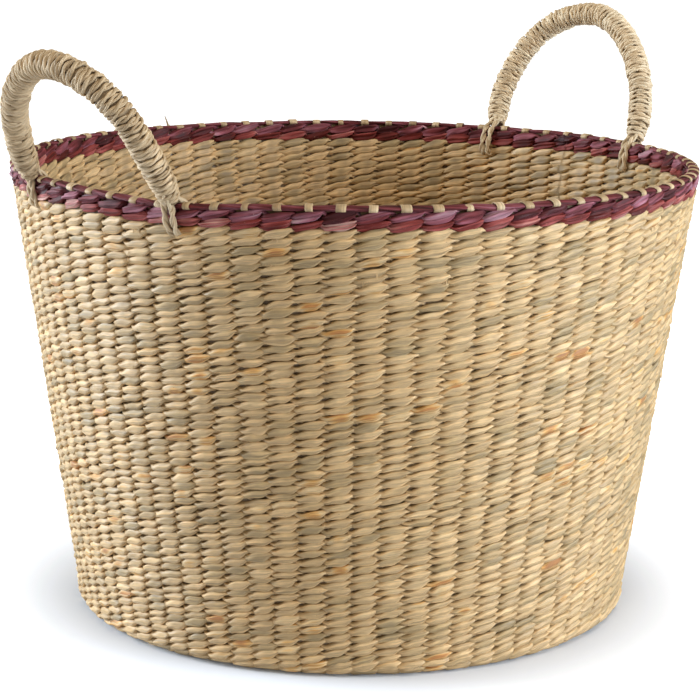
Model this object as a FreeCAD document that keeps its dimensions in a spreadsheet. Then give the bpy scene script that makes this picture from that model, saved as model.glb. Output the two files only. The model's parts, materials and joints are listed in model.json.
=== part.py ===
import FreeCAD, Part
import math
import os
import Sketcher

# Round seagrass storage basket with two loop handles, in millimetres.
# Origin: middle of the underside of the base. +Z is up, and the handles stand on the X axis.
# Flat stakes run out from the middle of the base, bend up the wall and fold over the rim roll. The weft
# lies in front of the stakes and behind them, so each woven part is an outside layer and an inside layer.

DIMENSIONS = [
    ("rim_radius", 209.5, "outside of the wall at the height of the rim"),
    ("base_radius", 170, "outside of the wall where its line meets the floor"),
    ("rim_height", 273, "floor to the top of the folded stake ends"),
    ("corner_radius", 9, "outside bend between base and wall"),
    ("strand", 3.2, "thickness of one layer of weft"),
    ("slack", 0.1, "play between neighbouring pieces"),
    ("stake_count", 76, "stakes round the rim"),
    ("stake_width", 4.4, "width of a stake"),
    ("stake_thick", 1, "thickness of a stake"),
    ("plait_radius", 14, "crossed stakes at the middle of the base"),
    ("first_start", 15.5, "radius where the first stakes start"),
    ("second_start", 30, "radius where the next stakes are added"),
    ("third_start", 58, "radius where the last stakes are added"),
    ("roll_radius", 1.5, "radius of the roll that the stakes fold over"),
    ("inside_lip", 1.2, "rim top to the top of the inside purple strand"),
    ("purple_top", 4.4, "rim top to the top of the outside purple strand"),
    ("red_top", 9, "rim top to the top of the red-brown row"),
    ("natural_top", 13.1, "rim top to the top of the natural rows"),
    ("leg_half_span", 59.8, "middle of a handle to the middle of its leg"),
    ("pivot_drop", 7, "rim top down to the line a handle swings about"),
    ("eye_radius", 11.5, "radius of a core cord's loop round the rim"),
    ("cord_radius", 1.6, "radius of one core cord"),
    ("cord_spacing", 3.3, "between the two cords of a leg"),
    ("hole_play", 0.3, "play round the cords where they pass the wall"),
    ("hole_height", 6.4, "height of the gap the cords pass through"),
    ("hole_drop", 10.4, "swing line down to the middle of that gap"),
    ("core_radius", 5.2, "radius of the core bundle"),
    ("wrap_radius", 7.6, "outside radius of the wrapped handle"),
    ("core_start", 10.5, "swing line up to the end of the core bundle"),
    ("wrap_start", 13.2, "swing line up to the end of the wrapping"),
    ("left_crown_radius", 42.2, "left handle: radius of the crown"),
    ("left_crown_shift", 17.7, "left handle: crown's centre to the side of its middle"),
    ("left_crown_rise", 51.8, "left handle: crown's centre above the swing line"),
    ("left_near_bend", 109, "left handle: bend radius of the leg away from the crown"),
    ("left_far_bend", 237, "left handle: bend radius of the leg under the crown"),
    ("left_lean", 33.7, "left handle: outward lean, degrees"),
    ("right_crown_radius", 46.5, "right handle: radius of the crown"),
    ("right_crown_shift", 18.4, "right handle: crown's centre to the side of its middle"),
    ("right_crown_rise", 53.7, "right handle: crown's centre above the swing line"),
    ("right_near_bend", 120, "right handle: bend radius of the leg away from the crown"),
    ("right_far_bend", 75, "right handle: bend radius of the leg under the crown"),
    ("right_lean", 32.4, "right handle: outward lean, degrees"),
]

doc = FreeCAD.newDocument("SeagrassBasket")
sheet = doc.addObject("Spreadsheet::Sheet", "Dim")
for row, (alias, value, meaning) in enumerate(DIMENSIONS, start=1):
    sheet.set(f"A{row}", alias)
    sheet.set(f"B{row}", str(value))
    sheet.set(f"C{row}", meaning)
    sheet.setAlias(f"B{row}", alias)
doc.recompute()

# Expressions shared by several pieces.
LEAN = "atan((Dim.rim_radius - Dim.base_radius) / Dim.rim_height)"
CORNER_X = f"(Dim.base_radius - Dim.corner_radius * (1 - sin({LEAN})) / cos({LEAN}))"
STAKE_FACE = "(Dim.strand + Dim.slack)"
STAKE_BACK = "(Dim.strand + Dim.slack + Dim.stake_thick)"
INSIDE_FACE = "(Dim.strand + 2 * Dim.slack + Dim.stake_thick)"
INSIDE_BACK = "(2 * Dim.strand + 2 * Dim.slack + Dim.stake_thick)"
HOOK_RADIUS = "(Dim.roll_radius + Dim.slack)"
HOOK_BACK = "(Dim.roll_radius + Dim.slack + Dim.stake_thick)"
ROLL_DEPTH = "(Dim.strand - Dim.roll_radius)"
PIVOT_RADIUS = (
    f"(Dim.rim_radius - Dim.pivot_drop * tan({LEAN}) - {INSIDE_BACK} / 2 / cos({LEAN}))"
)
PIVOT_X = f"sqrt({PIVOT_RADIUS} ^ 2 - Dim.leg_half_span ^ 2)"


def value_of(expression):
    """Number that an expression has with the sheet's present cells."""
    result = sheet.evalExpression(str(expression))
    return float(getattr(result, "Value", result))


def on_wall(down, deep):
    """Point in the XZ plane, down along the wall from the rim and deep in from its outside."""
    along = f"Dim.rim_radius - ({down}) * sin({LEAN}) - ({deep}) * cos({LEAN})"
    height = f"Dim.rim_height - ({down}) * cos({LEAN}) + ({deep}) * sin({LEAN})"
    return along, height


def corner_low(deep):
    """Where the bend leaves the flat base, for a layer deep in from the outside."""
    return CORNER_X, str(deep)


def corner_high(deep):
    """Where the bend meets the straight wall, for a layer deep in from the outside."""
    bend = f"(Dim.corner_radius - {deep})"
    return f"{CORNER_X} + {bend} * cos({LEAN})", f"Dim.corner_radius - {bend} * sin({LEAN})"


def new_body(label):
    body = doc.addObject("PartDesign::Body", label)
    body.Label = label
    return body


def origin_feature(body, role):
    return next(f for f in body.Origin.OriginFeatures if f.Role == role)


def new_sketch(body, name, plane):
    sketch = body.newObject("Sketcher::SketchObject", name)
    sketch.AttachmentSupport = [(origin_feature(body, plane), "")]
    sketch.MapMode = "FlatFace"
    return sketch


def constrain(sketch, kind, *where, bound):
    """Adds a dimension to a sketch and binds it to an expression."""
    number = sketch.addConstraint(Sketcher.Constraint(kind, *where, value_of(bound)))
    sketch.setExpression(f"Constraints[{number}]", str(bound))


def arc_between(start, end, radius):
    """Arc from start to end that bends left for a positive radius and right for a negative one."""
    half = (end - start) / 2
    side = FreeCAD.Vector(-half.y, half.x, 0).normalize()
    reach = math.sqrt(radius * radius - half.Length**2)
    centre = start + half + side * reach * math.copysign(1, radius)
    circle = Part.Circle(centre, FreeCAD.Vector(0, 0, 1), abs(radius))
    first, last = (start, end) if radius > 0 else (end, start)
    angles = [math.atan2(p.y - centre.y, p.x - centre.x) for p in (first, last)]
    return Part.ArcOfCircle(circle, *angles)


def draw_outline(sketch, corners):
    """Closed outline. A corner is (x, y) or (x, y, radius); a radius bends the edge that leaves it."""
    places = [FreeCAD.Vector(value_of(c[0]), value_of(c[1]), 0) for c in corners]
    starts, ends = [], []
    for i, corner in enumerate(corners):
        start, end = places[i], places[(i + 1) % len(corners)]
        bend = value_of(corner[2]) if len(corner) == 3 else 0
        edge = arc_between(start, end, bend) if bend else Part.LineSegment(start, end)
        number = sketch.addGeometry(edge)
        backwards = bend < 0
        starts.append((number, 2 if backwards else 1))
        ends.append((number, 1 if backwards else 2))
        if bend:
            radius = corner[2].lstrip("-")
            constrain(sketch, "Radius", number, bound=radius)
    for i, corner in enumerate(corners):
        sketch.addConstraint(Sketcher.Constraint("Coincident", *ends[i - 1], *starts[i]))
        constrain(sketch, "DistanceX", -1, 1, *starts[i], bound=corner[0])
        constrain(sketch, "DistanceY", -1, 1, *starts[i], bound=corner[1])


def revolve(body, sketch):
    """Turns a section in the XZ plane into a ring about the basket's axis."""
    ring = body.newObject("PartDesign::Revolution", f"{body.Name}_ring")
    ring.Profile = sketch
    ring.ReferenceAxis = (sketch, ["V_Axis"])
    ring.Angle = 360
    return ring


def cut_cord_holes(body):
    """Gaps in the weave under the rim rows, one for each leg of both handles."""
    sketch = new_sketch(body, f"{body.Name}_holes", "YZ_Plane")
    half_width = "(Dim.cord_spacing / 2 + Dim.cord_radius + Dim.hole_play)"
    middle = "(Dim.rim_height - Dim.pivot_drop - Dim.hole_drop)"
    low, high = f"{middle} - Dim.hole_height / 2", f"{middle} + Dim.hole_height / 2"
    for side in ("-", ""):
        near, far = (f"{side}(Dim.leg_half_span {sign} {half_width})" for sign in "-+")
        draw_outline(sketch, [(near, low), (far, low), (far, high), (near, high)])
    pocket = body.newObject("PartDesign::Pocket", f"{body.Name}_cord_holes")
    pocket.Profile = sketch
    pocket.Type = "ThroughAll"
    pocket.SideType = "Symmetric"


def wall_layer(label, front, back):
    """Natural rows of the wall with the bend at its foot: the layer between two depths."""
    body = new_body(label)
    sketch = new_sketch(body, f"{label}_section", "XZ_Plane")
    corners = [
        (*corner_low(front), f"(Dim.corner_radius - {front})"),
        corner_high(front),
        on_wall("Dim.natural_top", front),
        on_wall("Dim.natural_top", back),
        (*corner_high(back), f"-(Dim.corner_radius - {back})"),
        corner_low(back),
    ]
    draw_outline(sketch, corners)
    revolve(body, sketch)
    cut_cord_holes(body)
    return body


def base_layer(label, bottom):
    """Round layer of the base's rows."""
    disc = doc.addObject("Part::Cylinder", label)
    disc.Label = label
    disc.setExpression("Radius", f"{CORNER_X} - Dim.slack")
    disc.setExpression("Height", "Dim.strand")
    disc.setExpression("Placement.Base.z", bottom)
    return disc


def centre_plait():
    """Stakes crossed and pressed flat at the middle of the base."""
    disc = doc.addObject("Part::Cylinder", "centre_plait")
    disc.Label = "centre_plait"
    disc.setExpression("Radius", "Dim.plait_radius")
    disc.setExpression("Height", "Dim.stake_thick")
    disc.setExpression("Placement.Base.z", STAKE_FACE)
    return disc


def stakes(label, start, share, turn):
    """Ring of stakes: out along the base, up the wall, and over the roll. It has 1/share of them all."""
    body = new_body(label)
    sketch = new_sketch(body, f"{label}_side", "XZ_Plane")
    tip = f"({HOOK_BACK} + {HOOK_RADIUS})"
    corners = [
        (start, STAKE_FACE),
        (*corner_low(STAKE_FACE), f"(Dim.corner_radius - {STAKE_FACE})"),
        corner_high(STAKE_FACE),
        (*on_wall(HOOK_BACK, STAKE_FACE), f"-{HOOK_RADIUS}"),
        (*on_wall("Dim.stake_thick", ROLL_DEPTH), f"-{HOOK_RADIUS}"),
        on_wall(HOOK_BACK, f"({ROLL_DEPTH} - {HOOK_RADIUS})"),
        on_wall(tip, f"({ROLL_DEPTH} - {HOOK_RADIUS})"),
        on_wall(tip, f"({ROLL_DEPTH} - {HOOK_BACK})"),
        (*on_wall(HOOK_BACK, f"({ROLL_DEPTH} - {HOOK_BACK})"), HOOK_BACK),
        (*on_wall("0", ROLL_DEPTH), HOOK_BACK),
        on_wall(HOOK_BACK, STAKE_BACK),
        (*corner_high(STAKE_BACK), f"-(Dim.corner_radius - {STAKE_BACK})"),
        corner_low(STAKE_BACK),
        (start, STAKE_BACK),
    ]
    draw_outline(sketch, corners)
    strip = body.newObject("PartDesign::Pad", f"{label}_strip")
    strip.Profile = sketch
    strip.SideType = "Symmetric"
    strip.setExpression("Length", "Dim.stake_width")
    doc.recompute()
    ring = body.newObject("PartDesign::PolarPattern", f"{label}_ring")
    ring.Originals = [strip]
    ring.Axis = (origin_feature(body, "Z_Axis"), [""])
    ring.Angle = 360
    ring.setExpression("Occurrences", f"Dim.stake_count / {share}")
    body.Tip = ring
    body.setExpression("Placement.Rotation.Angle", f"{turn} * 360 deg / Dim.stake_count")
    return body


def rim_row(label, outside_top, inside_top, bottom):
    """One dyed row: a ring in front of the stakes and a ring behind them."""
    body = new_body(label)
    sketch = new_sketch(body, f"{label}_section", "XZ_Plane")
    for top, front, back in (
        (outside_top, "0", "Dim.strand"),
        (inside_top, INSIDE_FACE, INSIDE_BACK),
    ):
        low = f"({bottom} - Dim.slack)"
        corners = [on_wall(low, front), on_wall(top, front), on_wall(top, back), on_wall(low, back)]
        draw_outline(sketch, corners)
    revolve(body, sketch)
    return body


def rim_roll():
    """Thin purple roll along the top of the rim."""
    body = new_body("rim_roll")
    sketch = new_sketch(body, "rim_roll_section", "XZ_Plane")
    x, z = on_wall(HOOK_BACK, ROLL_DEPTH)
    centre = FreeCAD.Vector(value_of(x), value_of(z), 0)
    circle = Part.Circle(centre, FreeCAD.Vector(0, 0, 1), value_of("Dim.roll_radius"))
    number = sketch.addGeometry(circle)
    constrain(sketch, "DistanceX", -1, 1, number, 3, bound=x)
    constrain(sketch, "DistanceY", -1, 1, number, 3, bound=z)
    constrain(sketch, "Radius", number, bound="Dim.roll_radius")
    revolve(body, sketch)
    return body


def leg_centre(foot, crown, crown_radius, bend):
    """Centre of the bend that starts at foot and runs smoothly into the crown."""
    gap = crown - foot
    along = (bend**2 - (bend - crown_radius) ** 2 + gap.Length**2) / (2 * gap.Length)
    across = math.sqrt(bend**2 - along**2)
    forward = FreeCAD.Vector(gap).normalize()
    sideways = FreeCAD.Vector(-forward.y, forward.x, 0) * -math.copysign(1, gap.x)
    return foot + forward * along + sideways * across


def draw_arch(body, name, handle):
    """Middle line of a handle in the YZ plane: a three-centred arch, with its crown towards +Y.

    The handles are bent by hand, so each has an arch of its own.
    """
    sketch = new_sketch(body, name, "YZ_Plane")
    radius, shift, rise = (f"Dim.{handle}_crown_{word}" for word in ("radius", "shift", "rise"))
    crown_radius = value_of(radius)
    crown = FreeCAD.Vector(value_of(shift), value_of(rise), 0)
    numbers = []
    joins = []
    for side, bend in (("-", f"Dim.{handle}_near_bend"), ("", f"Dim.{handle}_far_bend")):
        foot_y = f"{side}Dim.leg_half_span"
        foot = FreeCAD.Vector(value_of(foot_y), value_of("Dim.core_start"), 0)
        centre = leg_centre(foot, crown, crown_radius, value_of(bend))
        join = crown + (crown - centre).normalize() * crown_radius
        joins.append(join)
        turn = 1 if side == "" else -1
        leg = arc_between(foot, join, turn * value_of(bend))
        number = sketch.addGeometry(leg)
        foot_end = 1 if side == "" else 2
        constrain(sketch, "DistanceX", -1, 1, number, foot_end, bound=foot_y)
        constrain(sketch, "DistanceY", -1, 1, number, foot_end, bound="Dim.core_start")
        constrain(sketch, "Radius", number, bound=bend)
        numbers.append(number)
    circle = Part.Circle(crown, FreeCAD.Vector(0, 0, 1), crown_radius)
    angles = [math.atan2(p.y - crown.y, p.x - crown.x) for p in reversed(joins)]
    top = sketch.addGeometry(Part.ArcOfCircle(circle, *angles))
    constrain(sketch, "DistanceX", -1, 1, top, 3, bound=shift)
    constrain(sketch, "DistanceY", -1, 1, top, 3, bound=rise)
    constrain(sketch, "Radius", top, bound=radius)
    sketch.addConstraint(Sketcher.Constraint("Tangent", numbers[0], 1, top, 2))
    sketch.addConstraint(Sketcher.Constraint("Tangent", numbers[1], 2, top, 1))
    return sketch


def sweep_round(body, path, radius, kind):
    """Round bar of the given radius along a handle's middle line."""
    section = body.newObject("Sketcher::SketchObject", f"{body.Name}_{kind}_section")
    section.AttachmentSupport = [(path, "Edge1")]
    section.MapMode = "NormalToEdge"
    circle = section.addGeometry(
        Part.Circle(FreeCAD.Vector(), FreeCAD.Vector(0, 0, 1), value_of(radius))
    )
    section.addConstraint(Sketcher.Constraint("Coincident", circle, 3, -1, 1))
    constrain(section, "Radius", circle, bound=radius)
    doc.recompute()
    pipe = body.newObject(f"PartDesign::{kind}Pipe", f"{body.Name}_{kind}")
    pipe.Profile = section
    pipe.Spine = (path, ["Edge1", "Edge2", "Edge3"])
    return pipe


def place_handle(body, side):
    """Puts a handle on its swing line, leaning outwards; the left one is turned half way round."""
    lean = f"Dim.{side}_lean"
    yaw, sign = (180, "-") if side == "left" else (0, "")
    body.Placement.Rotation = FreeCAD.Rotation(yaw, value_of(lean), 0)
    body.setExpression("Placement.Base.x", f"{sign}{PIVOT_X}")
    body.setExpression("Placement.Base.z", "Dim.rim_height - Dim.pivot_drop")


def handle_core(side):
    """Bundle of cords whose bare ends loop round the rim: two loops at each leg."""
    body = new_body(f"{side}_handle_core")
    path = draw_arch(body, f"{side}_core_path", side)
    doc.recompute()
    sweep_round(body, path, "Dim.core_radius", "Additive")
    for leg in ("-", ""):
        for place in ("-", "+"):
            eye = body.newObject("PartDesign::AdditiveTorus", f"{side}_eye")
            eye.AttachmentSupport = [(origin_feature(body, "XZ_Plane"), "")]
            eye.MapMode = "FlatFace"
            eye.setExpression("Radius1", "Dim.eye_radius")
            eye.setExpression("Radius2", "Dim.cord_radius")
            offset = f"-({leg}Dim.leg_half_span {place} Dim.cord_spacing / 2)"
            eye.setExpression("AttachmentOffset.Base.z", offset)
    place_handle(body, side)
    return body


def handle_wrap(side):
    """Thin cord wound closely round the core, as a plain tube."""
    body = new_body(f"{side}_handle_wrap")
    path = draw_arch(body, f"{side}_wrap_path", side)
    doc.recompute()
    sweep_round(body, path, "Dim.wrap_radius", "Additive")
    sweep_round(body, path, "(Dim.core_radius + Dim.slack)", "Subtractive")
    trim = new_sketch(body, f"{side}_wrap_trim", "YZ_Plane")
    reach = "(Dim.leg_half_span + 2 * Dim.wrap_radius)"
    corners = [
        (f"-{reach}", "0"),
        (reach, "0"),
        (reach, "Dim.wrap_start"),
        (f"-{reach}", "Dim.wrap_start"),
    ]
    draw_outline(trim, corners)
    pocket = body.newObject("PartDesign::Pocket", f"{side}_wrap_ends")
    pocket.Profile = trim
    pocket.Type = "ThroughAll"
    pocket.SideType = "Symmetric"
    place_handle(body, side)
    return body


parts = [
    base_layer("base_outside_weft", "0"),
    base_layer("base_inside_weft", INSIDE_FACE),
    centre_plait(),
    wall_layer("wall_outside_weft", "0", "Dim.strand"),
    wall_layer("wall_inside_weft", INSIDE_FACE, INSIDE_BACK),
    stakes("first_stakes", "Dim.first_start", share=4, turn=0),
    stakes("second_stakes", "Dim.second_start", share=4, turn=2),
    stakes("third_stakes", "Dim.third_start", share=2, turn=1),
    rim_row("red_brown_row", "Dim.red_top", "Dim.red_top", "Dim.natural_top"),
    rim_row("purple_row", "Dim.purple_top", "Dim.inside_lip", "Dim.red_top"),
    rim_roll(),
]
for handle_side in ("left", "right"):
    parts.append(handle_core(handle_side))
    parts.append(handle_wrap(handle_side))
doc.recompute()

for item in doc.Objects:
    if {"Invalid", "Error"} & set(item.State):
        raise RuntimeError(f"{item.Label} failed: {item.State}")
for part in parts:
    if part.Shape.isNull() or not part.Shape.isValid():
        raise RuntimeError(f"{part.Label} has no valid shape")

os.makedirs("parts", exist_ok=True)
for part in parts:
    part.Shape.exportStep(os.path.join("parts", f"{part.Label}.step"))
    solids, volume = len(part.Shape.Solids), part.Shape.Volume
    print(f"{part.Label}: {solids} solids, {volume / 1000:.1f} cm3")
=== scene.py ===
import json
import math
import bpy
import numpy as np
from mathutils import Matrix, Vector


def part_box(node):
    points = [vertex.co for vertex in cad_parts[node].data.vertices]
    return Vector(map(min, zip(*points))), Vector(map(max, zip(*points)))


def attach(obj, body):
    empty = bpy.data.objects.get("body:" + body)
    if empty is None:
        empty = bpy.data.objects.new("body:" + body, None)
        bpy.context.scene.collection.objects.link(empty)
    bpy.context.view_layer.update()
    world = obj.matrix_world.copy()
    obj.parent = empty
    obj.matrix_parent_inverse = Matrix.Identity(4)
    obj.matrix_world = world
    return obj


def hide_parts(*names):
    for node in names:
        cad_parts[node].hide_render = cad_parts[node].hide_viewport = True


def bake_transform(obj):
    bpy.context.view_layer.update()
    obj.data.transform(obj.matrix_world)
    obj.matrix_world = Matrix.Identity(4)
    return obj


# Looks of the seagrass storage basket: twined weft over stakes, a dyed rim and two wrapped handles.
# Everything is in metres in the CAD frame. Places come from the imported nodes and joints.

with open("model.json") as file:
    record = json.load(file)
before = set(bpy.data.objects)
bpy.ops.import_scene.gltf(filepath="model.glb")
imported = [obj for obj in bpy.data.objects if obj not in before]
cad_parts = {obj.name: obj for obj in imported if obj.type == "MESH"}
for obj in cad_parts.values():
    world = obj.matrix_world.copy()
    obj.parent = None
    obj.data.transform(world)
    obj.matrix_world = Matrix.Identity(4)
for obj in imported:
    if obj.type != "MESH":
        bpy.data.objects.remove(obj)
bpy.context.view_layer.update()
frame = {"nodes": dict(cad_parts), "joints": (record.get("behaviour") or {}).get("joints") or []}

MM = 0.001
TAU = 2 * math.pi
UPRIGHT = np.array([0.0, 0.0, 1.0])


# ---------------- small helpers

def unit(vectors):
    """Vectors scaled to a length of one."""
    return vectors / np.linalg.norm(vectors, axis=-1, keepdims=True)


def together(*parts):
    """Arrays spread over each other and stacked in a new last axis."""
    return np.stack(np.broadcast_arrays(*parts), -1)


def about_axis(reach, theta, level):
    """Points at a distance from the basket's upright axis, an angle round it and a height."""
    return together(reach * np.cos(theta), reach * np.sin(theta), level)


def travelled(path):
    """Way run along a path at each of its points."""
    return np.concatenate([[0], np.linalg.norm(np.diff(path, axis=0), axis=1).cumsum()])


def between(values, place):
    """Smooth values between whole places, for a last axis that closes on itself."""
    low = np.floor(place).astype(int)
    share = place - low
    share = share * share * (3 - 2 * share)
    size = values.shape[-1]
    return values[..., low % size] * (1 - share) + values[..., (low + 1) % size] * share


def smooth_noise(size, reach, rng):
    """Random values that change slowly, with a spread of one."""
    kernel = np.hanning(2 * reach + 1)
    values = np.convolve(rng.normal(size=size + 2 * reach), kernel, "valid")
    return values / values.std()


def oval(corners, squareness=2.0):
    """Unit section, fuller than an ellipse if squareness is over 2: angle, outward and upward."""
    angle = np.arange(corners) * TAU / corners
    c, s = np.cos(angle), np.sin(angle)
    power = 2 / squareness
    return angle, np.sign(c) * np.abs(c) ** power, np.sign(s) * np.abs(s) ** power


# ---------------- measurements of the frame

def node_points(name):
    """All vertices of a CAD node as an array."""
    vertices = frame["nodes"][name].data.vertices
    points = np.empty(len(vertices) * 3)
    vertices.foreach_get("co", points)
    return points.reshape(-1, 3)


def wall_ends():
    """(radius, height) of the wall's outside line: where the corner ends, and under the dyed rows."""
    points = node_points("wall_outside_weft")
    radius, height = np.hypot(points[:, 0], points[:, 1]), points[:, 2]
    low = height < 0.1 * height.max()
    foot = np.argmax(np.where(low, radius, 0))
    top = np.argmax(radius)
    return np.array([radius[foot], height[foot]]), np.array([radius[top], height[top]])


def swing_joint(side):
    """The joint that a handle swings on."""
    return next(j for j in frame["joints"] if j["child"] == f"{side}_handle")


STAKES = 76
FIRST_STAKES = STAKES // 4
FOOT, BAND_FOOT = wall_ends()
UP = unit(BAND_FOOT - FOOT)
OUT = np.array([UP[1], -UP[0]])
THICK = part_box("base_inside_weft")[1].z
CORNER = FOOT[1] / (1 - UP[0])
CORNER_X = FOOT[0] - CORNER * OUT[0]
TURN = math.pi / 2 - math.asin(UP[0])
RIM_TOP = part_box("third_stakes")[1].z
BAND = (RIM_TOP - BAND_FOOT[1]) / UP[1]
ARC = CORNER * TURN
WALL = float(np.linalg.norm(BAND_FOOT - FOOT))
WALL_START = CORNER_X + ARC
RIM_END = WALL_START + WALL + BAND
FIRST_START, SECOND_START, THIRD_START = (
    float(np.hypot(*node_points(n)[:, :2].T).min())
    for n in ("first_stakes", "second_stakes", "third_stakes")
)
LEG_SPAN = 59.8 * MM
HOLE_DROP = 10.4 * MM

# The corner between base and wall stands out a little.
CORNER_BULGE = 1.3 * MM
CORNER_REACH = 7.0 * MM

# The rim sags at the left handle's front leg, and the rows below it follow.
SAG = 2.8 * MM
SAG_REACH = 42 * MM
SAG_DEPTH = 95 * MM
SAG_BEYOND_LEG = 6 * MM
# The stitches of the base are pressed flat where the basket stands on them.
RESTING = 0.05 * MM


def profile(along):
    """Outside of the basket, by the way run from the middle of the base: points, normals and tangents."""
    along = np.asarray(along, float)
    turned = np.clip((along - CORNER_X) / CORNER, 0, TURN)
    angle = turned - math.pi / 2
    normal = together(np.cos(angle), np.sin(angle))
    tangent = together(-np.sin(angle), np.cos(angle))
    centre = together(np.minimum(along, CORNER_X), CORNER)
    climb = np.maximum(along - WALL_START, 0)
    line = centre + CORNER * normal + climb[..., None] * tangent
    from_corner = (along - CORNER_X - ARC / 2) / CORNER_REACH
    line[..., 0] += CORNER_BULGE * np.exp(-(from_corner**2)) * normal[..., 0]
    return line, normal, tangent


def settled(points):
    """Points of the basket as it sags at one place and rests on the floor."""
    x, y, _ = swing_joint("left")["pos_m"]
    leg = math.atan2(y - LEG_SPAN + SAG_BEYOND_LEG, x)
    angle = np.arctan2(points[..., 1], points[..., 0]) - leg
    across = np.angle(np.exp(1j * angle)) * np.hypot(points[..., 0], points[..., 1])
    share = np.clip(1 - (RIM_TOP - points[..., 2]) / SAG_DEPTH, 0, 1)
    height = points[..., 2] - SAG * np.exp(-((across / SAG_REACH) ** 2)) * share**1.5
    return np.concatenate([points[..., :2], np.maximum(height, RESTING)[..., None]], -1)


# ---------------- meshes made of tubes

def add_object(name, data):
    obj = bpy.data.objects.new(name, data)
    bpy.context.scene.collection.objects.link(obj)
    return obj


def build_mesh(name, points, faces, uvs, attributes, material, body):
    """Mesh object from arrays. faces and uvs are lists: one array for each number of corners."""
    mesh = bpy.data.meshes.new(name)
    mesh.vertices.add(len(points))
    mesh.vertices.foreach_set("co", points.astype(np.float32).ravel())
    corners = np.concatenate([f.ravel() for f in faces]).astype(np.int32)
    sizes = np.concatenate([np.full(len(f), f.shape[1], np.int32) for f in faces])
    starts = np.concatenate([[0], np.cumsum(sizes)[:-1]]).astype(np.int32)
    mesh.loops.add(len(corners))
    mesh.loops.foreach_set("vertex_index", corners)
    mesh.polygons.add(len(sizes))
    mesh.polygons.foreach_set("loop_start", starts)
    mesh.update(calc_edges=True)
    mesh.shade_smooth()
    layer = mesh.uv_layers.new(name="OFBake")
    layer.data.foreach_set("uv", np.concatenate([u.reshape(-1) for u in uvs]).astype(np.float32))
    for key, kind, field, values in attributes:
        attribute = mesh.attributes.new(key, kind, "POINT")
        attribute.data.foreach_set(field, values.astype(np.float32).ravel())
    mesh.materials.append(material)
    obj = add_object(name, mesh)
    if body:
        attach(obj, body)
    return obj


def tubes(name, rings, material, body, closed, tone, painted_shade, fibre, strips=1):
    """Tubes through rings[tube, step, corner]. tone, the share of painted shade and fibre have the same
    axes, and fibre holds (along, around, strand). Each tube is laid out for baking as a number of stacked
    strips."""
    count, length, corners, _ = rings.shape
    steps = length if closed else length - 1
    tube, step, corner = (a.ravel() for a in np.indices((count, steps, corners)))
    ahead, beside = (step + 1) % length, (corner + 1) % corners

    def number(s, c):
        return (tube * length + s) * corners + c

    pairs = ((step, corner), (ahead, corner), (ahead, beside), (step, beside))
    faces = [together(*(number(s, c) for s, c in pairs))]
    per_strip = math.ceil(steps / strips)
    strip = step // per_strip
    row = tube * strips + strip
    rows = count * strips
    margin, used = 0.06, 0.88
    left = (step - strip * per_strip) / per_strip
    right = left + 1 / per_strip
    low = (row + margin + used * corner / corners) / rows
    high = (row + margin + used * (corner + 1) / corners) / rows
    uvs = [np.stack([together(*p) for p in ((left, low), (right, low), (right, high), (left, high))], 1)]
    if not closed:
        first = np.arange(count)[:, None] * length * corners + np.arange(corners)
        faces.append(np.concatenate([first[:, ::-1], first + (length - 1) * corners]))
        middle = np.tile(np.arange(count), 2)
        spot = together(0.5, (middle * strips + 0.5) / rows)
        uvs.append(np.repeat(spot[:, None], corners, 1))
    if body in ("basket", None):
        rings = settled(rings)
    shape = rings.shape[:3]
    attributes = [
        ("tone", "FLOAT", "value", np.broadcast_to(tone, shape)),
        ("painted_shade", "FLOAT", "value", np.broadcast_to(painted_shade, shape)),
        ("fibre", "FLOAT_VECTOR", "vector", np.broadcast_to(fibre, shape + (3,))),
    ]
    return build_mesh(name, rings.reshape(-1, 3), faces, uvs, attributes, material, body)


# ---------------- materials

class Nodes:
    """Small helper that adds nodes to a material or world and links them."""

    def __init__(self, data, shader="Principled BSDF"):
        data.use_nodes = True
        self.tree = data.node_tree
        self.shader = self.tree.nodes[shader]

    def add(self, kind, inputs=None, **settings):
        node = self.tree.nodes.new(kind)
        for key, value in settings.items():
            setattr(node, key, value)
        for key, value in (inputs or {}).items():
            self.put(node.inputs[key], value)
        return node

    def shade(self, socket, value):
        """Gives an input of the shader a value or a link."""
        self.put(self.shader.inputs[socket], value)

    def put(self, socket, value):
        if isinstance(value, bpy.types.NodeSocket):
            self.tree.links.new(value, socket)
        else:
            socket.default_value = value

    def attribute(self, name, output="Fac"):
        return self.add("ShaderNodeAttribute", attribute_name=name).outputs[output]

    def maths(self, operation, a, b, clamp=False):
        node = self.add("ShaderNodeMath", {0: a, 1: b}, operation=operation, use_clamp=clamp)
        return node.outputs[0]

    def noise(self, vector, scales, detail):
        """Noise at a number of changes per metre along, around and from strand to strand."""
        scaled = self.add("ShaderNodeVectorMath", {0: vector, 1: scales}, operation="MULTIPLY").outputs[0]
        inputs = {"Vector": scaled, "Scale": 1.0, "Detail": detail, "Roughness": 0.55}
        return self.add("ShaderNodeTexNoise", inputs).outputs["Fac"]

    def ramp(self, factor, stops, smooth=False):
        """Colours, or plain numbers for greys, at places along a ramp."""
        node = self.add("ShaderNodeValToRGB", {"Fac": factor})
        node.color_ramp.interpolation = "EASE" if smooth else "LINEAR"
        points = node.color_ramp.elements
        while len(points) < len(stops):
            points.new(1.0)
        for point, (place, colour) in zip(points, stops):
            point.position = place
            point.color = (*(colour if isinstance(colour, tuple) else (colour,) * 3), 1)
        return node.outputs["Color"]

    def mix(self, factor, a, b, blend="MIX"):
        node = self.add("ShaderNodeMix", data_type="RGBA", blend_type=blend)
        self.put(node.inputs["Factor"], factor)
        self.put(node.inputs[6], a)
        self.put(node.inputs[7], b)
        return node.outputs[2]


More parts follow.
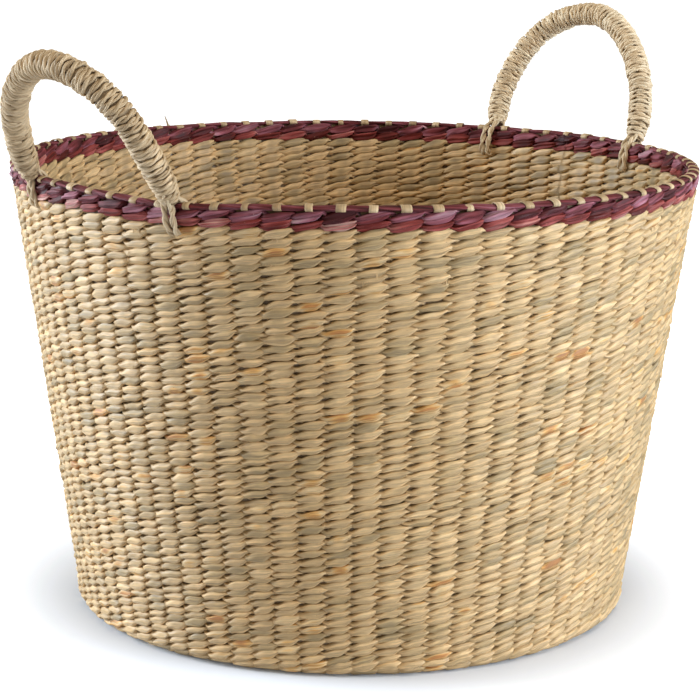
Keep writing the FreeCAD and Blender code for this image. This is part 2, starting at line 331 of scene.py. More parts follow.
def fibre_material(name, tones, painted_shade, fleck, fibre_depth, rough, shine=0.5, contrast=1.0, streaks=0.85):
    """Dry plant fibre. Attribute 'tone' picks a stitch's colour, the painted-shade share mixes a painted
    shade colour into what lies in the gaps, under other parts and on the inner face, and 'fibre' runs
    (along, around, strand) in metres, so that the grain follows each strand."""
    material = bpy.data.materials.new(name)
    material["slot"] = name
    n = Nodes(material)
    fibre = n.attribute("fibre", "Vector")
    grain = n.noise(fibre, (70, 1500, 1), 3.0)
    streak = n.noise(fibre, (28, 420, 1), 2.0)
    line = n.noise(fibre, (40, 900, 1), 1.0)
    blotch = n.noise(fibre, (90, 160, 1), 2.0)
    spots = n.noise(fibre, (420, 900, 1), 2.0)
    drift = n.maths("MULTIPLY", n.maths("SUBTRACT", streak, 0.5), streaks)
    tone = n.maths("ADD", n.attribute("tone"), drift, clamp=True)
    colour = n.ramp(tone, tones)
    for pattern, start, end, share in (
        (grain, 0.30, 0.70, 0.30), (line, 0.34, 0.52, 0.22), (blotch, 0.42, 0.62, 0.22)
    ):
        shade = n.ramp(pattern, [(start, 1 - share * contrast), (end, 1.0)])
        colour = n.mix(1.0, colour, shade, "MULTIPLY")
    speck = n.maths("MULTIPLY", n.ramp(spots, [(0.70, 0.0), (0.78, 1.0)]), 0.55)
    colour = n.mix(speck, colour, (*fleck, 1))
    # Painted shade: the colour is mixed towards the dark painted shade colour where the shade share is
    # high.
    painted_shade_share = n.ramp(n.attribute("painted_shade"), [(0.45, 0.0), (1.0, 0.9)], smooth=True)
    colour = n.mix(painted_shade_share, colour, (*painted_shade, 1))
    n.shade("Base Color", colour)
    roughness = n.ramp(streak, [(0.3, rough - 0.12), (0.7, rough + 0.12)])
    n.shade("Roughness", roughness)
    n.shade("Specular IOR Level", shine)
    height = n.maths("ADD", n.maths("MULTIPLY", grain, 0.5), n.maths("MULTIPLY", line, 0.9))
    bump = n.add("ShaderNodeBump", {"Height": height, "Strength": 1.0, "Distance": fibre_depth})
    n.shade("Normal", bump.outputs["Normal"])
    return material


NATURAL_TONES = [
    (0.0, (0.5, 0.35, 0.165)),
    (0.16, (0.64, 0.435, 0.2)),
    (0.38, (0.78, 0.515, 0.24)),
    (0.6, (0.865, 0.57, 0.27)),
    (0.78, (0.92, 0.645, 0.325)),
    (0.9, (0.86, 0.46, 0.13)),
    (1.0, (0.58, 0.24, 0.06)),
]
PURPLE_TONES = [
    (0.0, (0.07, 0.009, 0.01)),
    (0.35, (0.215, 0.036, 0.04)),
    (0.62, (0.37, 0.115, 0.145)),
    (0.85, (0.58, 0.27, 0.32)),
    (1.0, (0.7, 0.42, 0.43)),
]
RED_TONES = [
    (0.0, (0.11, 0.01, 0.006)),
    (0.35, (0.27, 0.036, 0.028)),
    (0.62, (0.45, 0.1, 0.085)),
    (0.85, (0.64, 0.26, 0.22)),
    (1.0, (0.74, 0.43, 0.34)),
]
PALE_TONES = [(0.0, (0.42, 0.27, 0.13)), (0.5, (0.6, 0.41, 0.21)), (1.0, (0.76, 0.56, 0.33))]
WRAP_TONES = [
    (0.0, (0.46, 0.31, 0.165)),
    (0.35, (0.64, 0.455, 0.255)),
    (0.7, (0.79, 0.585, 0.355)),
    (1.0, (0.9, 0.72, 0.475)),
]
# Painted shade: dark colour mixed into the gaps of the weave and onto buried and inner parts.
PAINTED_GAP_SHADE = (0.085, 0.044, 0.016)

# The third value of each material is its painted shade colour, for gaps, buried parts and inner faces.
natural_weft = fibre_material(
    "natural_seagrass", NATURAL_TONES, PAINTED_GAP_SHADE, (0.2, 0.09, 0.03), 0.45 * MM, 0.56, 0.55
)
purple_weft = fibre_material(
    "purple_seagrass", PURPLE_TONES, (0.008, 0.002, 0.002), (0.5, 0.3, 0.26), 0.6 * MM, 0.6, 0.22,
    contrast=1.1, streaks=1.5,
)
red_weft = fibre_material(
    "red_brown_seagrass", RED_TONES, (0.01, 0.002, 0.001), (0.56, 0.32, 0.22), 0.6 * MM, 0.6, 0.22,
    contrast=1.1, streaks=1.5,
)
pale_stake = fibre_material("stake_seagrass", PALE_TONES, PAINTED_GAP_SHADE, (0.3, 0.17, 0.07), 0.3 * MM, 0.62)
wrap_cord = fibre_material(
    "wrap_cord", WRAP_TONES, (0.2, 0.12, 0.055), (0.3, 0.18, 0.08), 0.3 * MM, 0.62, 0.4, contrast=0.8
)
core_cord = fibre_material(
    "core_cord", WRAP_TONES, (0.1, 0.06, 0.03), (0.25, 0.15, 0.07), 0.3 * MM, 0.68, 0.25
)


# ---------------- the weave

# A twined row. Its heights and reaches are shares of the row's pitch.
WEAVE = dict(
    full=0.58, tip=0.15, tail=0.30,  # half height in the middle, and at the upper and lower end
    edge=0.53, slant=0.16,  # reach from the row's line, and how far a stitch climbs
    half_depth=1.55 * MM, crossing_depth=3.3 * MM,  # half the strand's depth at a stake, and between two
    lens=0.82, swell=0.9, dive=0.15,  # how fast it widens, comes out, and dives at its upper end
    steps=9, corners=14,  # samples along a stitch, and corners of a strand
    sway=1.0 * MM, jitter=0.85 * MM,  # sideways drift of a stake, and of one stitch
    uneven=1.0, wave=0.0, fold=1.0,  # unevenness, phase of the rows' waves, depth of the folds
    tone=0.45, spread=0.17, golden=0.03, dull=0.04,  # tone of stitches, and shares of odd ones
    inside_painted_shade=0.64,  # painted shade on the inner face
)
# Painted shade: stitch parts on the inner face get a darker tone.
INSIDE_SHADE_DARKENING = 0.14
LEVEL_WAVE = 0.16 * MM
DEPTH_NOISE = 0.22 * MM
STEEP_CLIMB = 1.7
HOLE_PUSH = 1.5 * MM
HOLE_REACH = 6.5 * MM


def stake_sway(rows, count, rng):
    """Sideways drift of each stake from row to row, between -1 and 1."""
    steps = rng.normal(size=(rows, count))
    walk = np.cumsum(steps, 0)
    walk -= walk.mean(0)
    kernel = np.hanning(9)
    kernel /= kernel.sum()
    smooth = np.array([np.convolve(np.pad(w, 4, "edge"), kernel, "valid") for w in walk.T]).T
    return smooth / (np.abs(smooth).max() + 1e-9)


def part_round_holes(theta, along, radius):
    """Extra (sideways, up) shift that opens the weave where the handle cords pass through the wall."""
    aside, up = np.zeros_like(theta), np.zeros_like(theta)
    for joint in frame["joints"]:
        x, _, z = joint["pos_m"]
        level = RIM_END - (RIM_TOP - z + HOLE_DROP) / UP[1]
        for leg in (-1, 1):
            angle = math.atan2(leg * LEG_SPAN, x)
            across = np.angle(np.exp(1j * (theta - angle))) * radius
            above = along - level
            distance = np.hypot(across, 1.6 * above) + 1e-6
            push = HOLE_PUSH * np.exp(-((distance / HOLE_REACH) ** 2)) * np.minimum(distance / MM, 1)
            aside += push * 0.5 * across / distance
            up += push * 1.6 * above / distance
    return aside, up


def woven_rows(name, levels, pitch, count, material, seed, **changes):
    """Twined rows. In each row two strands pass in front of and behind the stakes by turns, twisting
    round each other, so that every stitch climbs to the right on both faces."""
    look = {**WEAVE, **changes}
    rng = np.random.default_rng(seed)
    steps, corners, uneven, fold = (look[k] for k in ("steps", "corners", "uneven", "fold"))
    pitch = pitch[:, None, None]
    full, tip, tail, edge, slant = (look[k] * pitch for k in ("full", "tip", "tail", "edge", "slant"))
    half_depth, crossing_depth = look["half_depth"], look["crossing_depth"]
    turns = 1 + count % 2
    strands = 2 // turns
    rows, stitches = len(levels), count * turns
    place = np.arange(stitches * steps) / steps
    spot, normal, tangent = profile(levels)
    spot = spot - normal * THICK / 2

    drift = stake_sway(rows, count, rng)
    radius = np.maximum(spot[:, 0], 0.01)
    jitter = look["jitter"] * rng.normal(size=(rows, count))
    shift = between(drift * look["sway"] + jitter, place) / radius[:, None]
    shape = (rows, strands, stitches)
    height_by = between(1 + 0.10 * uneven * rng.normal(size=shape), place)
    rise_by = between(1 + 0.20 * uneven * rng.normal(size=shape), place)
    lift = between(0.055 * uneven * rng.normal(size=shape), place) * pitch
    wave = np.cos(place * TAU / count * np.array([5, 9, 14])[:, None] + look["wave"])
    lift = lift + LEVEL_WAVE * wave.sum(0) * (levels > CORNER_X)[:, None, None]
    depth_by = between(DEPTH_NOISE * rng.normal(size=shape), place)
    crease = between(rng.uniform(0, TAU, shape), place)[..., None]
    own_tone = look["tone"] + look["spread"] * rng.normal(size=shape)
    own_tone = own_tone + 0.07 * rng.normal(size=(rows, strands, 1))
    odd = rng.uniform(size=shape)
    own_tone = np.where(odd < look["golden"], rng.uniform(0.82, 1.0, shape), own_tone)
    own_tone = np.where(odd > 1 - look["dull"], rng.uniform(0.0, 0.15, shape), own_tone)
    tone = np.clip(between(own_tone, place), 0, 1)

    turn = math.pi * (place[None, :] + np.arange(strands)[:, None])
    s = np.sin(turn)
    c = np.cos(turn - look["dive"] * np.cos(turn))
    bulge = np.abs(c)
    swing = THICK / 2 - half_depth
    outward = swing * np.sign(c) * bulge ** look["swell"] + depth_by
    thin = (tip + tail) / 2 + (tip - tail) / 2 * s
    half_high = thin + (full - thin) * bulge ** look["lens"]
    climb = np.tanh(STEEP_CLIMB * s) / math.tanh(STEEP_CLIMB)
    upward = ((edge - half_high) * climb + slant * s) * rise_by + lift
    half_high = half_high * height_by
    half_deep = crossing_depth + (half_depth - crossing_depth) * bulge**1.2

    angle, section_out, section_up = oval(corners, 2.4)
    ridge = 1 + 0.09 * fold * np.cos(3 * angle + crease + 1.7 * place[:, None])
    ridge += 0.075 * fold * np.cos(5 * angle - 0.7 * crease + 0.9 * place[:, None])
    ridge += 0.035 * (fold - 1) * np.cos(11 * angle + 1.3 * crease)
    away = outward[..., None] + half_deep[..., None] * section_out * ridge
    above = upward[..., None] + half_high[..., None] * section_up * ridge
    theta = (place * TAU / count)[None, None, :, None] + shift[:, None, :, None] + np.zeros_like(away)
    pick = (slice(None), None, None, None)
    aside, up = part_round_holes(theta, levels[pick] + above, radius[pick])
    theta, above = theta + aside / radius[pick], above + up

    reach = spot[:, 0][pick] + normal[:, 0][pick] * away + tangent[:, 0][pick] * above
    level = spot[:, 1][pick] + normal[:, 1][pick] * away + tangent[:, 1][pick] * above
    ends = (rows * strands, stitches * steps, corners)
    rings = about_axis(reach, theta, level).reshape(*ends, 3)
    along = place[None, None, :, None] * (TAU * radius / count)[pick]
    own = rng.uniform(0, 50, (rows, strands, 1, 1))
    fibre = together(along + own, angle * 2.2 * MM + own * 0.1, own).reshape(*ends, 3)
    # Painted shade: strand parts darken the deeper they lie in the weave and on the inner face, and there
    # the tone drops too.
    inside = np.clip(-outward / swing, 0, 1)[..., None]
    painted_shade = np.clip(np.maximum(1 - np.abs(away) / (THICK / 2), look["inside_painted_shade"] * inside), 0, 1)
    tone = np.broadcast_to(tone[..., None] - INSIDE_SHADE_DARKENING * inside, away.shape)
    return tubes(
        name, rings, material, "basket", True, tone.reshape(ends), painted_shade.reshape(ends), fibre,
        strips=4 * turns,
    )


PITCH_TOP = 5.0 * MM
PITCH_LOSS = 0.4 * MM
ROWS_PER_PIECE = 5


def row_levels():
    """Places of the natural rows, from under the dyed rows down the wall and in across the base."""
    top = RIM_END - BAND
    level, levels, pitches = top, [], []
    while level > FIRST_START:
        share = np.clip((top - level) / WALL, 0, 1)
        pitch = PITCH_TOP - PITCH_LOSS * share
        level -= pitch
        if level > FIRST_START - pitch / 2:
            levels.append(level + pitch / 2)
            pitches.append(pitch)
    return np.array(levels), np.array(pitches)


def weave_basket():
    """The natural rows: the wall in pieces of a few rows, and the base in zones by its stakes."""
    levels, pitches = row_levels()
    wall = np.flatnonzero(levels > CORNER_X)
    pieces = []
    for i in range(0, len(wall), ROWS_PER_PIECE):
        rows = wall[i : i + ROWS_PER_PIECE]
        name = f"wall_rows_{i // ROWS_PER_PIECE + 1:02d}"
        pieces.append(woven_rows(name, levels[rows], pitches[rows], STAKES, natural_weft, 100 + i))
    halfway = 0.5 * (CORNER_X + THIRD_START)
    limits = (CORNER_X, halfway, THIRD_START, SECOND_START, 0.0)
    for i, count in enumerate((STAKES, STAKES, STAKES // 2, FIRST_STAKES)):
        chosen = (levels <= limits[i]) & (levels > limits[i + 1])
        pieces.append(
            woven_rows(
                f"base_rows_{i + 1}", levels[chosen], pitches[chosen], count, natural_weft, 300 + i,
                steps=8, corners=10, sway=0.3 * MM, jitter=0.0,
            )
        )
    return pieces


PURPLE_DOWN = 6.0 * MM
PURPLE_PITCH = 5.3 * MM
RED_DOWN = 10.6 * MM
RED_PITCH = 4.5 * MM
DYED = dict(
    steps=16, corners=30, full=0.53, tip=0.2, tail=0.36, slant=0.18, lens=0.65, swell=0.62,
    crossing_depth=3.0 * MM, uneven=1.2, wave=1.0, fold=2.2, spread=0.22, golden=0.0, dull=0.0,
    # painted shade on the inner face of the dyed rows
    inside_painted_shade=0.5,
)


def dyed_row(name, down, pitch, material, seed):
    """One dyed row, some way down from the end of the rim."""
    return woven_rows(name, np.array([RIM_END - down]), np.array([pitch]), STAKES, material, seed, **DYED)


ROLL_DOWN = 1.75 * MM
ROLL_WIDE = 2.9 * MM
ROLL_HIGH = 1.35 * MM
ROLL_OUT = 0.3 * MM


def roll_line():
    """Middle of the rim roll in the (radius, height) plane, with the ways outward and up there."""
    spot, normal, tangent = profile(np.array([RIM_END - ROLL_DOWN]))
    return (spot - normal * THICK / 2)[0], normal[0], tangent[0]


def rim_roll():
    """Purple bundle along the top, pinched where each stake folds over it."""
    rng = np.random.default_rng(21)
    steps, corners = 24, 18
    place = np.arange(STAKES * steps) / steps
    spot, normal, tangent = roll_line()
    angle, out, up = oval(corners, 2.1)
    near_stake = np.exp(-((place - np.round(place)) / 0.16) ** 2)
    size = 1.05 - 0.16 * near_stake + between(0.05 * rng.normal(size=STAKES), place)
    twist = (place * 0.9)[:, None]
    lobes = 1 + 0.10 * np.cos(3 * (angle + twist)) + 0.04 * np.cos(7 * (angle + 0.8 * twist) + 1.0)
    wander = between(0.22 * MM * rng.normal(size=STAKES), place)
    away = ROLL_WIDE * out * lobes * size[:, None] + ROLL_OUT
    above = ROLL_HIGH * up * lobes * size[:, None] + wander[:, None]
    reach = spot[0] + normal[0] * away + tangent[0] * above
    level = spot[1] + normal[1] * away + tangent[1] * above
    rings = about_axis(reach, (place * TAU / STAKES)[:, None], level)[None]
    fibre = together(place[:, None] * TAU * spot[0] / STAKES, (angle + twist) * 2.5 * MM, 0.0)
    tone = np.clip(between(0.34 + 0.12 * rng.normal(size=STAKES), place), 0, 1)[:, None]
    return tubes("rim_roll_strand", rings, purple_weft, "basket", True, tone, 0.0, fibre, strips=6)


STAKE_THICK = 0.26 * MM
STAKE_WIDE = 2.45 * MM
FOLD_GAP = 0.35 * MM
FOLD_SAMPLES = 34


def stake_path(start):
    """A stake's middle line in the (radius, height) plane: along the base, up the wall, over the roll.
    Also the direction of its flat face, and the share of the fold that has been run."""
    under = RIM_END - 9 * MM
    bends = np.linspace(CORNER_X, WALL_START, 7)
    along = [np.linspace(start, CORNER_X, 6)[:-1], bends, np.linspace(bends[-1], under, 8)[1:]]
    spot, normal, _ = profile(np.concatenate(along))
    low = spot - normal * THICK / 2
    centre, out, up = roll_line()
    beta = np.radians(np.linspace(225, -62, FOLD_SAMPLES))[:, None]
    wide, high = ROLL_WIDE + FOLD_GAP, ROLL_HIGH + FOLD_GAP
    fold = centre + out * ROLL_OUT + wide * np.cos(beta) * out + high * np.sin(beta) * up
    path = np.concatenate([low, fold])
    run = unit(np.gradient(path, axis=0))
    share = np.concatenate([np.zeros(len(low)), np.linspace(0, 1, FOLD_SAMPLES)])
    return path, together(run[:, 1], -run[:, 0]), share


def make_stakes():
    """Flat strips with rounded edges, 76 in all, with the folded ends over the roll."""
    rng = np.random.default_rng(31)
    section = np.array(
        [(1, 0), (0.92, 1), (0.5, 1.15), (-0.5, 1.15), (-0.92, 1), (-1, 0), (-0.92, -1), (0.92, -1)]
    )
    groups = []
    for number in range(STAKES):
        start = (FIRST_START, THIRD_START, SECOND_START, THIRD_START)[number % 4]
        path, face, share = stake_path(start)
        half_wide = STAKE_WIDE + 0.30 * MM * rng.normal()
        skew = rng.normal(0.25, 0.45) * MM
        narrow = 1 - 0.10 * rng.uniform()
        lean = skew * np.clip((share - 0.5) * 2, -1, 1) * (share > 0)
        wide = half_wide * (1 - (1 - narrow) * share) * np.where(share > 0.97, 0.8, 1)
        lift = 0.22 * MM * np.sin(share * math.pi) * rng.normal()
        path = path + face * lift[:, None]
        angle = number * TAU / STAKES
        side = np.array([-math.sin(angle), math.cos(angle), 0])
        middle = about_axis(path[:, 0], angle, path[:, 1]) + lean[:, None] * side
        flat = about_axis(face[:, 0], angle, face[:, 1])
        ring = (
            middle[:, None]
            + side * (section[None, :, 0:1] * wide[:, None, None])
            + flat[:, None] * (section[None, :, 1:2] * STAKE_THICK)
        )
        groups.append(ring[:, ::-1])
    rings = np.stack(groups)
    steps = np.linalg.norm(np.diff(rings[:, :, 0], axis=1, prepend=rings[:, :1, 0]), axis=2).cumsum(1)
    own = rng.uniform(0, 50, (STAKES, 1, 1))
    fibre = together(steps[..., None] + own, section[::-1, 0] * 2.3 * MM + own * 0.1, own)
    tone = np.clip(rng.normal(0.55, 0.22, (STAKES, 1, 1)), 0, 1)
    # Painted shade: the stake parts inside the weave are darkened.
    painted_shade = np.where(share > 0, 0.0, 0.9)[:, None]
    return tubes("stake_strips", rings, pale_stake, "basket", False, tone, painted_shade, fibre)


def inner_sheet():
    """Thin layer of crossed strand parts in the middle of the weave, behind the gaps, painted dark brown as
    shade.
    """
    along = [
        np.linspace(FIRST_START, CORNER_X, 12)[:-1],
        np.linspace(CORNER_X, WALL_START, 8),
        np.linspace(WALL_START, RIM_END - 2.2 * MM, 14)[1:],
    ]
    spot, normal, _ = profile(np.concatenate(along))
    middle = spot - normal * THICK / 2
    half = 0.6 * MM
    loop = np.concatenate([middle + normal * half, (middle - normal * half)[::-1]])
    theta = (np.arange(2 * STAKES) * TAU / (2 * STAKES))[:, None]
    rings = about_axis(loop[:, 0], theta, loop[:, 1])[None]
    # Painted shade: the layer has the darkest tone and is mostly mixed towards the painted shade colour.
    return tubes("weave_heart", rings, natural_weft, "basket", True, 0.1, 0.85, rings)


def centre_cross():
    """Stakes crossed over and under each other at the middle of the base."""
    rng = np.random.default_rng(41)
    strips, pitch, half_wide, half_thick = 6, 4.7 * MM, 2.1 * MM, 0.75 * MM
    reach = FIRST_START + 1.5 * MM
    samples = 49
    section = np.array([(1, 0), (0.9, 1), (-0.9, 1), (-1, 0), (-0.9, -1), (0.9, -1)])
    rings = []
    for way in (0, 1):
        turn = way * math.pi / 2
        ahead = np.array([math.cos(turn), math.sin(turn), 0])
        side = np.array([-math.sin(turn), math.cos(turn), 0])
        for number in range(strips):
            offset = (number - (strips - 1) / 2) * pitch
            half_run = math.sqrt(max(reach**2 - offset**2, (6 * MM) ** 2))
            run = np.linspace(-half_run, half_run, samples)
            wave = np.cos(math.pi * (run / pitch + 0.5 + number + way))
            height = THICK / 2 + 1.3 * MM * np.clip(1.6 * wave, -1, 1) + 0.1 * MM * rng.normal()
            middle = run[:, None] * ahead + offset * side + height[:, None] * UPRIGHT
            ring = middle[:, None] + section[:, 0:1] * half_wide * side
            rings.append((ring + section[:, 1:2] * half_thick * UPRIGHT)[:, ::-1])
    rings = np.stack(rings)
    own = rng.uniform(0, 50, (len(rings), 1, 1))
    along = np.linspace(0, 2 * reach, samples)[:, None]
    fibre = together(along + own, section[::-1, 0] * half_wide + own * 0.1, own)
    tone = np.clip(rng.normal(0.4, 0.2, (len(rings), 1, 1)), 0, 1)
    return tubes("base_cross", rings, pale_stake, "basket", False, tone, 0.0, fibre)


# ---------------- the handles

LEG_START = 10.5 * MM
WRAP_RADIUS = 7.75 * MM
CORE_RADIUS = 5.7 * MM
CORD_PITCH = 3.35 * MM
PLY_WIDE = 0.96 * MM
PLY_THICK = 0.86 * MM
PLY_SWING = 0.86 * MM
PLY_LAY = 17 * MM
LEG_TAPER = 0.26
TAPER_LENGTH = 9 * MM
# Each handle is bent by hand: the crown's centre (along the swing line, away from it) and radius, the bend
# radius of each leg, how far the wrapping runs on past each leg's start, in mm, and the cord's tone, which
# holds
# painted light and shade: paler on the right handle, darker on the left.
ARCHES = {
    "left": dict(crown=(17.7, 51.8), radius=42.2, bends=(109, 237), overruns=(1.3, 3.8), tone=0.36),
    "right": dict(crown=(18.4, 53.7), radius=46.5, bends=(120, 75), overruns=(1.3, 1.3), tone=0.76),
}
# Each bare cord's way round the rim, in mm from the swing line: (outward, upward).
ROUND_THE_RIM = [
    (5.9, 5.2), (6.1, 1.0), (5.6, -4.5), (4.0, -8.9), (-0.9, -10.6), (-5.6, -9.4), (-6.4, -4.5),
    (-5.6, 1.0), (-4.3, 6.3),
]
# Its two ends inside the wrapping, in mm: (along the handle's lean, across it).
INTO_THE_WRAPPING = [(19, 2), (13, 2.6), (13, -2.6), (19, -2)]
CORD_APART = 2.2 * MM
CORD_LAY = 15 * MM
CORD_SWING = 0.86 * MM


def bend_centre(foot, crown, radius, bend):
    """Centre of a leg's bend: through its foot and smoothly into the crown."""
    gap = crown - foot
    size = np.linalg.norm(gap)
    along = (bend**2 - (bend - radius) ** 2 + size**2) / (2 * size)
    across = math.sqrt(bend**2 - along**2)
    ahead = gap / size
    side = np.array([-ahead[1], ahead[0]]) * -math.copysign(1, gap[0])
    return foot + ahead * along + side * across


def arc_points(centre, radius, start, end):
    """Points clockwise from start to end about centre."""
    first, last = (math.atan2(*(p - centre)[::-1]) for p in (start, end))
    last -= TAU if last > first else 0
    angle = np.linspace(first, last, 200)
    return centre + radius * together(np.cos(angle), np.sin(angle))


def arch_line(side, samples=600):
    """Middle line of a handle in its own plane, evenly spaced: (along the swing line, away from it)."""
    arch = ARCHES[side]
    crown, radius = np.array(arch["crown"]) * MM, arch["radius"] * MM
    feet = np.array([(-LEG_SPAN, LEG_START), (LEG_SPAN, LEG_START)])
    bends = [b * MM for b in arch["bends"]]
    centres = [bend_centre(f, crown, radius, b) for f, b in zip(feet, bends)]
    joins = [crown + unit(crown - c) * radius for c in centres]
    near = arc_points(centres[0], bends[0], feet[0], joins[0])[:-1]
    top = arc_points(crown, radius, joins[0], joins[1])[:-1]
    far = arc_points(centres[1], bends[1], joins[1], feet[1])
    line = np.concatenate([near, top, far])
    first, last = (
        here + unit(here - inner) * overrun * MM
        for here, inner, overrun in zip((line[0], line[-1]), (line[1], line[-2]), arch["overruns"])
    )
    line = np.concatenate([[first], line, [last]])
    length = travelled(line)
    even = np.linspace(0, length[-1], samples)
    return together(*(np.interp(even, length, line[:, k]) for k in (0, 1))), length[-1]


class Handle:
    """Where one handle stands: its pivot, its plane and its middle line."""

    def __init__(self, side):
        self.side = side
        self.body = f"{side}_handle"
        self.tone = ARCHES[side]["tone"]
        joint = swing_joint(side)
        self.pivot = np.array(joint["pos_m"], float)
        self.axis = np.array(joint["axis"], float)
        points = node_points(f"{side}_handle_wrap") - self.pivot
        points[:, 1] = 0
        self.lean = unit(points[np.argmax(np.linalg.norm(points, axis=1))])
        self.face = np.cross(self.axis, self.lean)
        self.line, self.length = arch_line(side)

    def in_plane(self, flat):
        """Ways in space of ways in the handle's plane."""
        return flat[..., :1] * self.axis + flat[..., 1:] * self.lean

    def along(self, share):
        """Point, run and inward direction at shares of the middle line."""
        index = np.clip(share, 0, 1) * (len(self.line) - 1)
        steps = np.arange(len(self.line))
        flat = together(*(np.interp(index, steps, self.line[:, k]) for k in (0, 1)))
        run = np.gradient(self.line, axis=0)
        run = unit(together(*(np.interp(index, steps, run[:, k]) for k in (0, 1))))
        inward = together(-run[..., 1], run[..., 0])
        return self.pivot + self.in_plane(flat), self.in_plane(run), self.in_plane(inward)

    def fullness(self, share):
        """How thick the handle is at shares of its length: it gets thinner towards the ends."""
        end = np.minimum(share, 1 - share) * self.length
        return 1 - LEG_TAPER * np.exp(-((end / TAPER_LENGTH) ** 2))


def sweep(points, thick, across, corners, guide=None):
    """Rings round a path of points [step, 3]. guide points outward."""
    run = unit(np.gradient(points, axis=0))
    if guide is None:
        outward = np.zeros_like(points)
        outward[0] = unit(np.cross(run[0], [0.3, 0.2, 0.93]))
        for i in range(1, len(points)):
            outward[i] = unit(outward[i - 1] - run[i] * (outward[i - 1] @ run[i]))
    else:
        outward = unit(guide - run * (guide * run).sum(1)[:, None])
    second = np.cross(outward, run)
    _, a, b = oval(corners)
    return (
        points[:, None]
        + outward[:, None] * (a[None, :, None] * thick[:, None, None])
        + second[:, None] * (b[None, :, None] * across[:, None, None])
    )


def wrap_handle(handle, seed):
    """Thin two-ply cord wound round the arch, unevenly, as by hand."""
    rng = np.random.default_rng(seed)
    per_turn, corners = 34, 9
    turns = int(handle.length / CORD_PITCH)
    steps = turns * per_turn
    turn = np.arange(steps) / per_turn
    uneven = smooth_noise(steps, per_turn // 2, rng) * 0.34 * MM
    uneven += 0.30 * MM * np.sin(turn * TAU + 0.8)
    share = 0.006 + 0.988 * np.clip((turn + uneven / CORD_PITCH) / turns, 0, 1)
    centre, run, inward = handle.along(share)
    angle = (turn * TAU)[:, None]
    outward = -inward * np.cos(angle) + handle.face * np.sin(angle)
    high = smooth_noise(steps, per_turn // 3, rng) * 0.20 * MM
    reach = WRAP_RADIUS * handle.fullness(share) - PLY_THICK - 0.25 * MM + high
    cord = centre + outward * reach[:, None]
    wound = turn * TAU * (WRAP_RADIUS - PLY_THICK)
    twist = wound / PLY_LAY * TAU + 1.1 * smooth_noise(steps, per_turn, rng)
    skin = np.arange(corners) / corners
    rings, tones, fibres, painted_shades = [], [], [], []
    for ply in (0, 1):
        own = twist + ply * math.pi
        loose = 1 + 0.16 * smooth_noise(steps, per_turn // 3, rng)
        aside = PLY_SWING * np.cos(own) * loose
        raised = PLY_SWING * np.sin(own) * 0.5
        points = cord + run * aside[:, None] + outward * raised[:, None]
        size = np.clip(1 + 0.12 * smooth_noise(steps, per_turn // 3, rng), 0.75, 1.35)
        rings.append(sweep(points, size * PLY_THICK, size * PLY_WIDE, corners, outward))
        # The handle's tone holds painted light and shade: paler on the right handle, darker on the left.
        tones.append(np.clip(handle.tone + 0.17 * smooth_noise(steps, per_turn // 3, rng), 0, 1)[:, None])
        way = wound[:, None]
        fibres.append(together(way + ply * 9, skin * 5.6 * MM + way * 0.35, float(ply)))
        # Painted shade: plies darken in the grooves between turns, where they lie lower, and on their side
        # towards the core.
        depth = PLY_SWING / 2 - raised[:, None] + PLY_THICK * (1 - np.cos(skin * TAU))
        painted_shades.append(np.clip(depth / (3.1 * MM), 0, 1))
    return tubes(
        f"{handle.side}_wrapping", np.stack(rings), wrap_cord, handle.body, False, np.stack(tones),
        np.stack(painted_shades), np.stack(fibres), strips=24,
    )


def core_of(handle):
    """Core bundle under the wrapping: a lobed rope that fills the arch."""
    share = np.linspace(0, 1, 90)
    centre, run, inward = handle.along(share)
    angle, c, s = oval(24)
    twist = (share * handle.length / (40 * MM) * TAU)[:, None]
    size = CORE_RADIUS * (1 + 0.04 * np.cos(6 * angle + twist)) * handle.fullness(share)[:, None]
    across = np.cross(-inward, run)
    ring = centre[:, None] + across[:, None] * (s * size)[..., None]
    ring = ring - inward[:, None] * (c * size)[..., None]
    fibre = together((share * handle.length)[:, None], angle * 5.9 * MM, 0.0)
    # Painted shade: the core under the wrapping is mixed towards its painted shade colour all over.
    return tubes(
        f"{handle.side}_core_bundle", ring[None], core_cord, handle.body, False, 0.3, 0.75, fibre
    )


def spline(points, samples):
    """Smooth path through points."""
    points = np.asarray(points, float)
    padded = np.concatenate([[2 * points[0] - points[1]], points, [2 * points[-1] - points[-2]]])
    place = np.linspace(0, len(points) - 1 - 1e-9, samples)
    i = place.astype(int)
    t = (place - i)[:, None]
    a, b, c, d = padded[i], padded[i + 1], padded[i + 2], padded[i + 3]
    return 0.5 * (2 * b + (c - a) * t + (2 * a - 5 * b + 4 * c - d) * t**2 + (3 * b - a - 3 * c + d) * t**3)


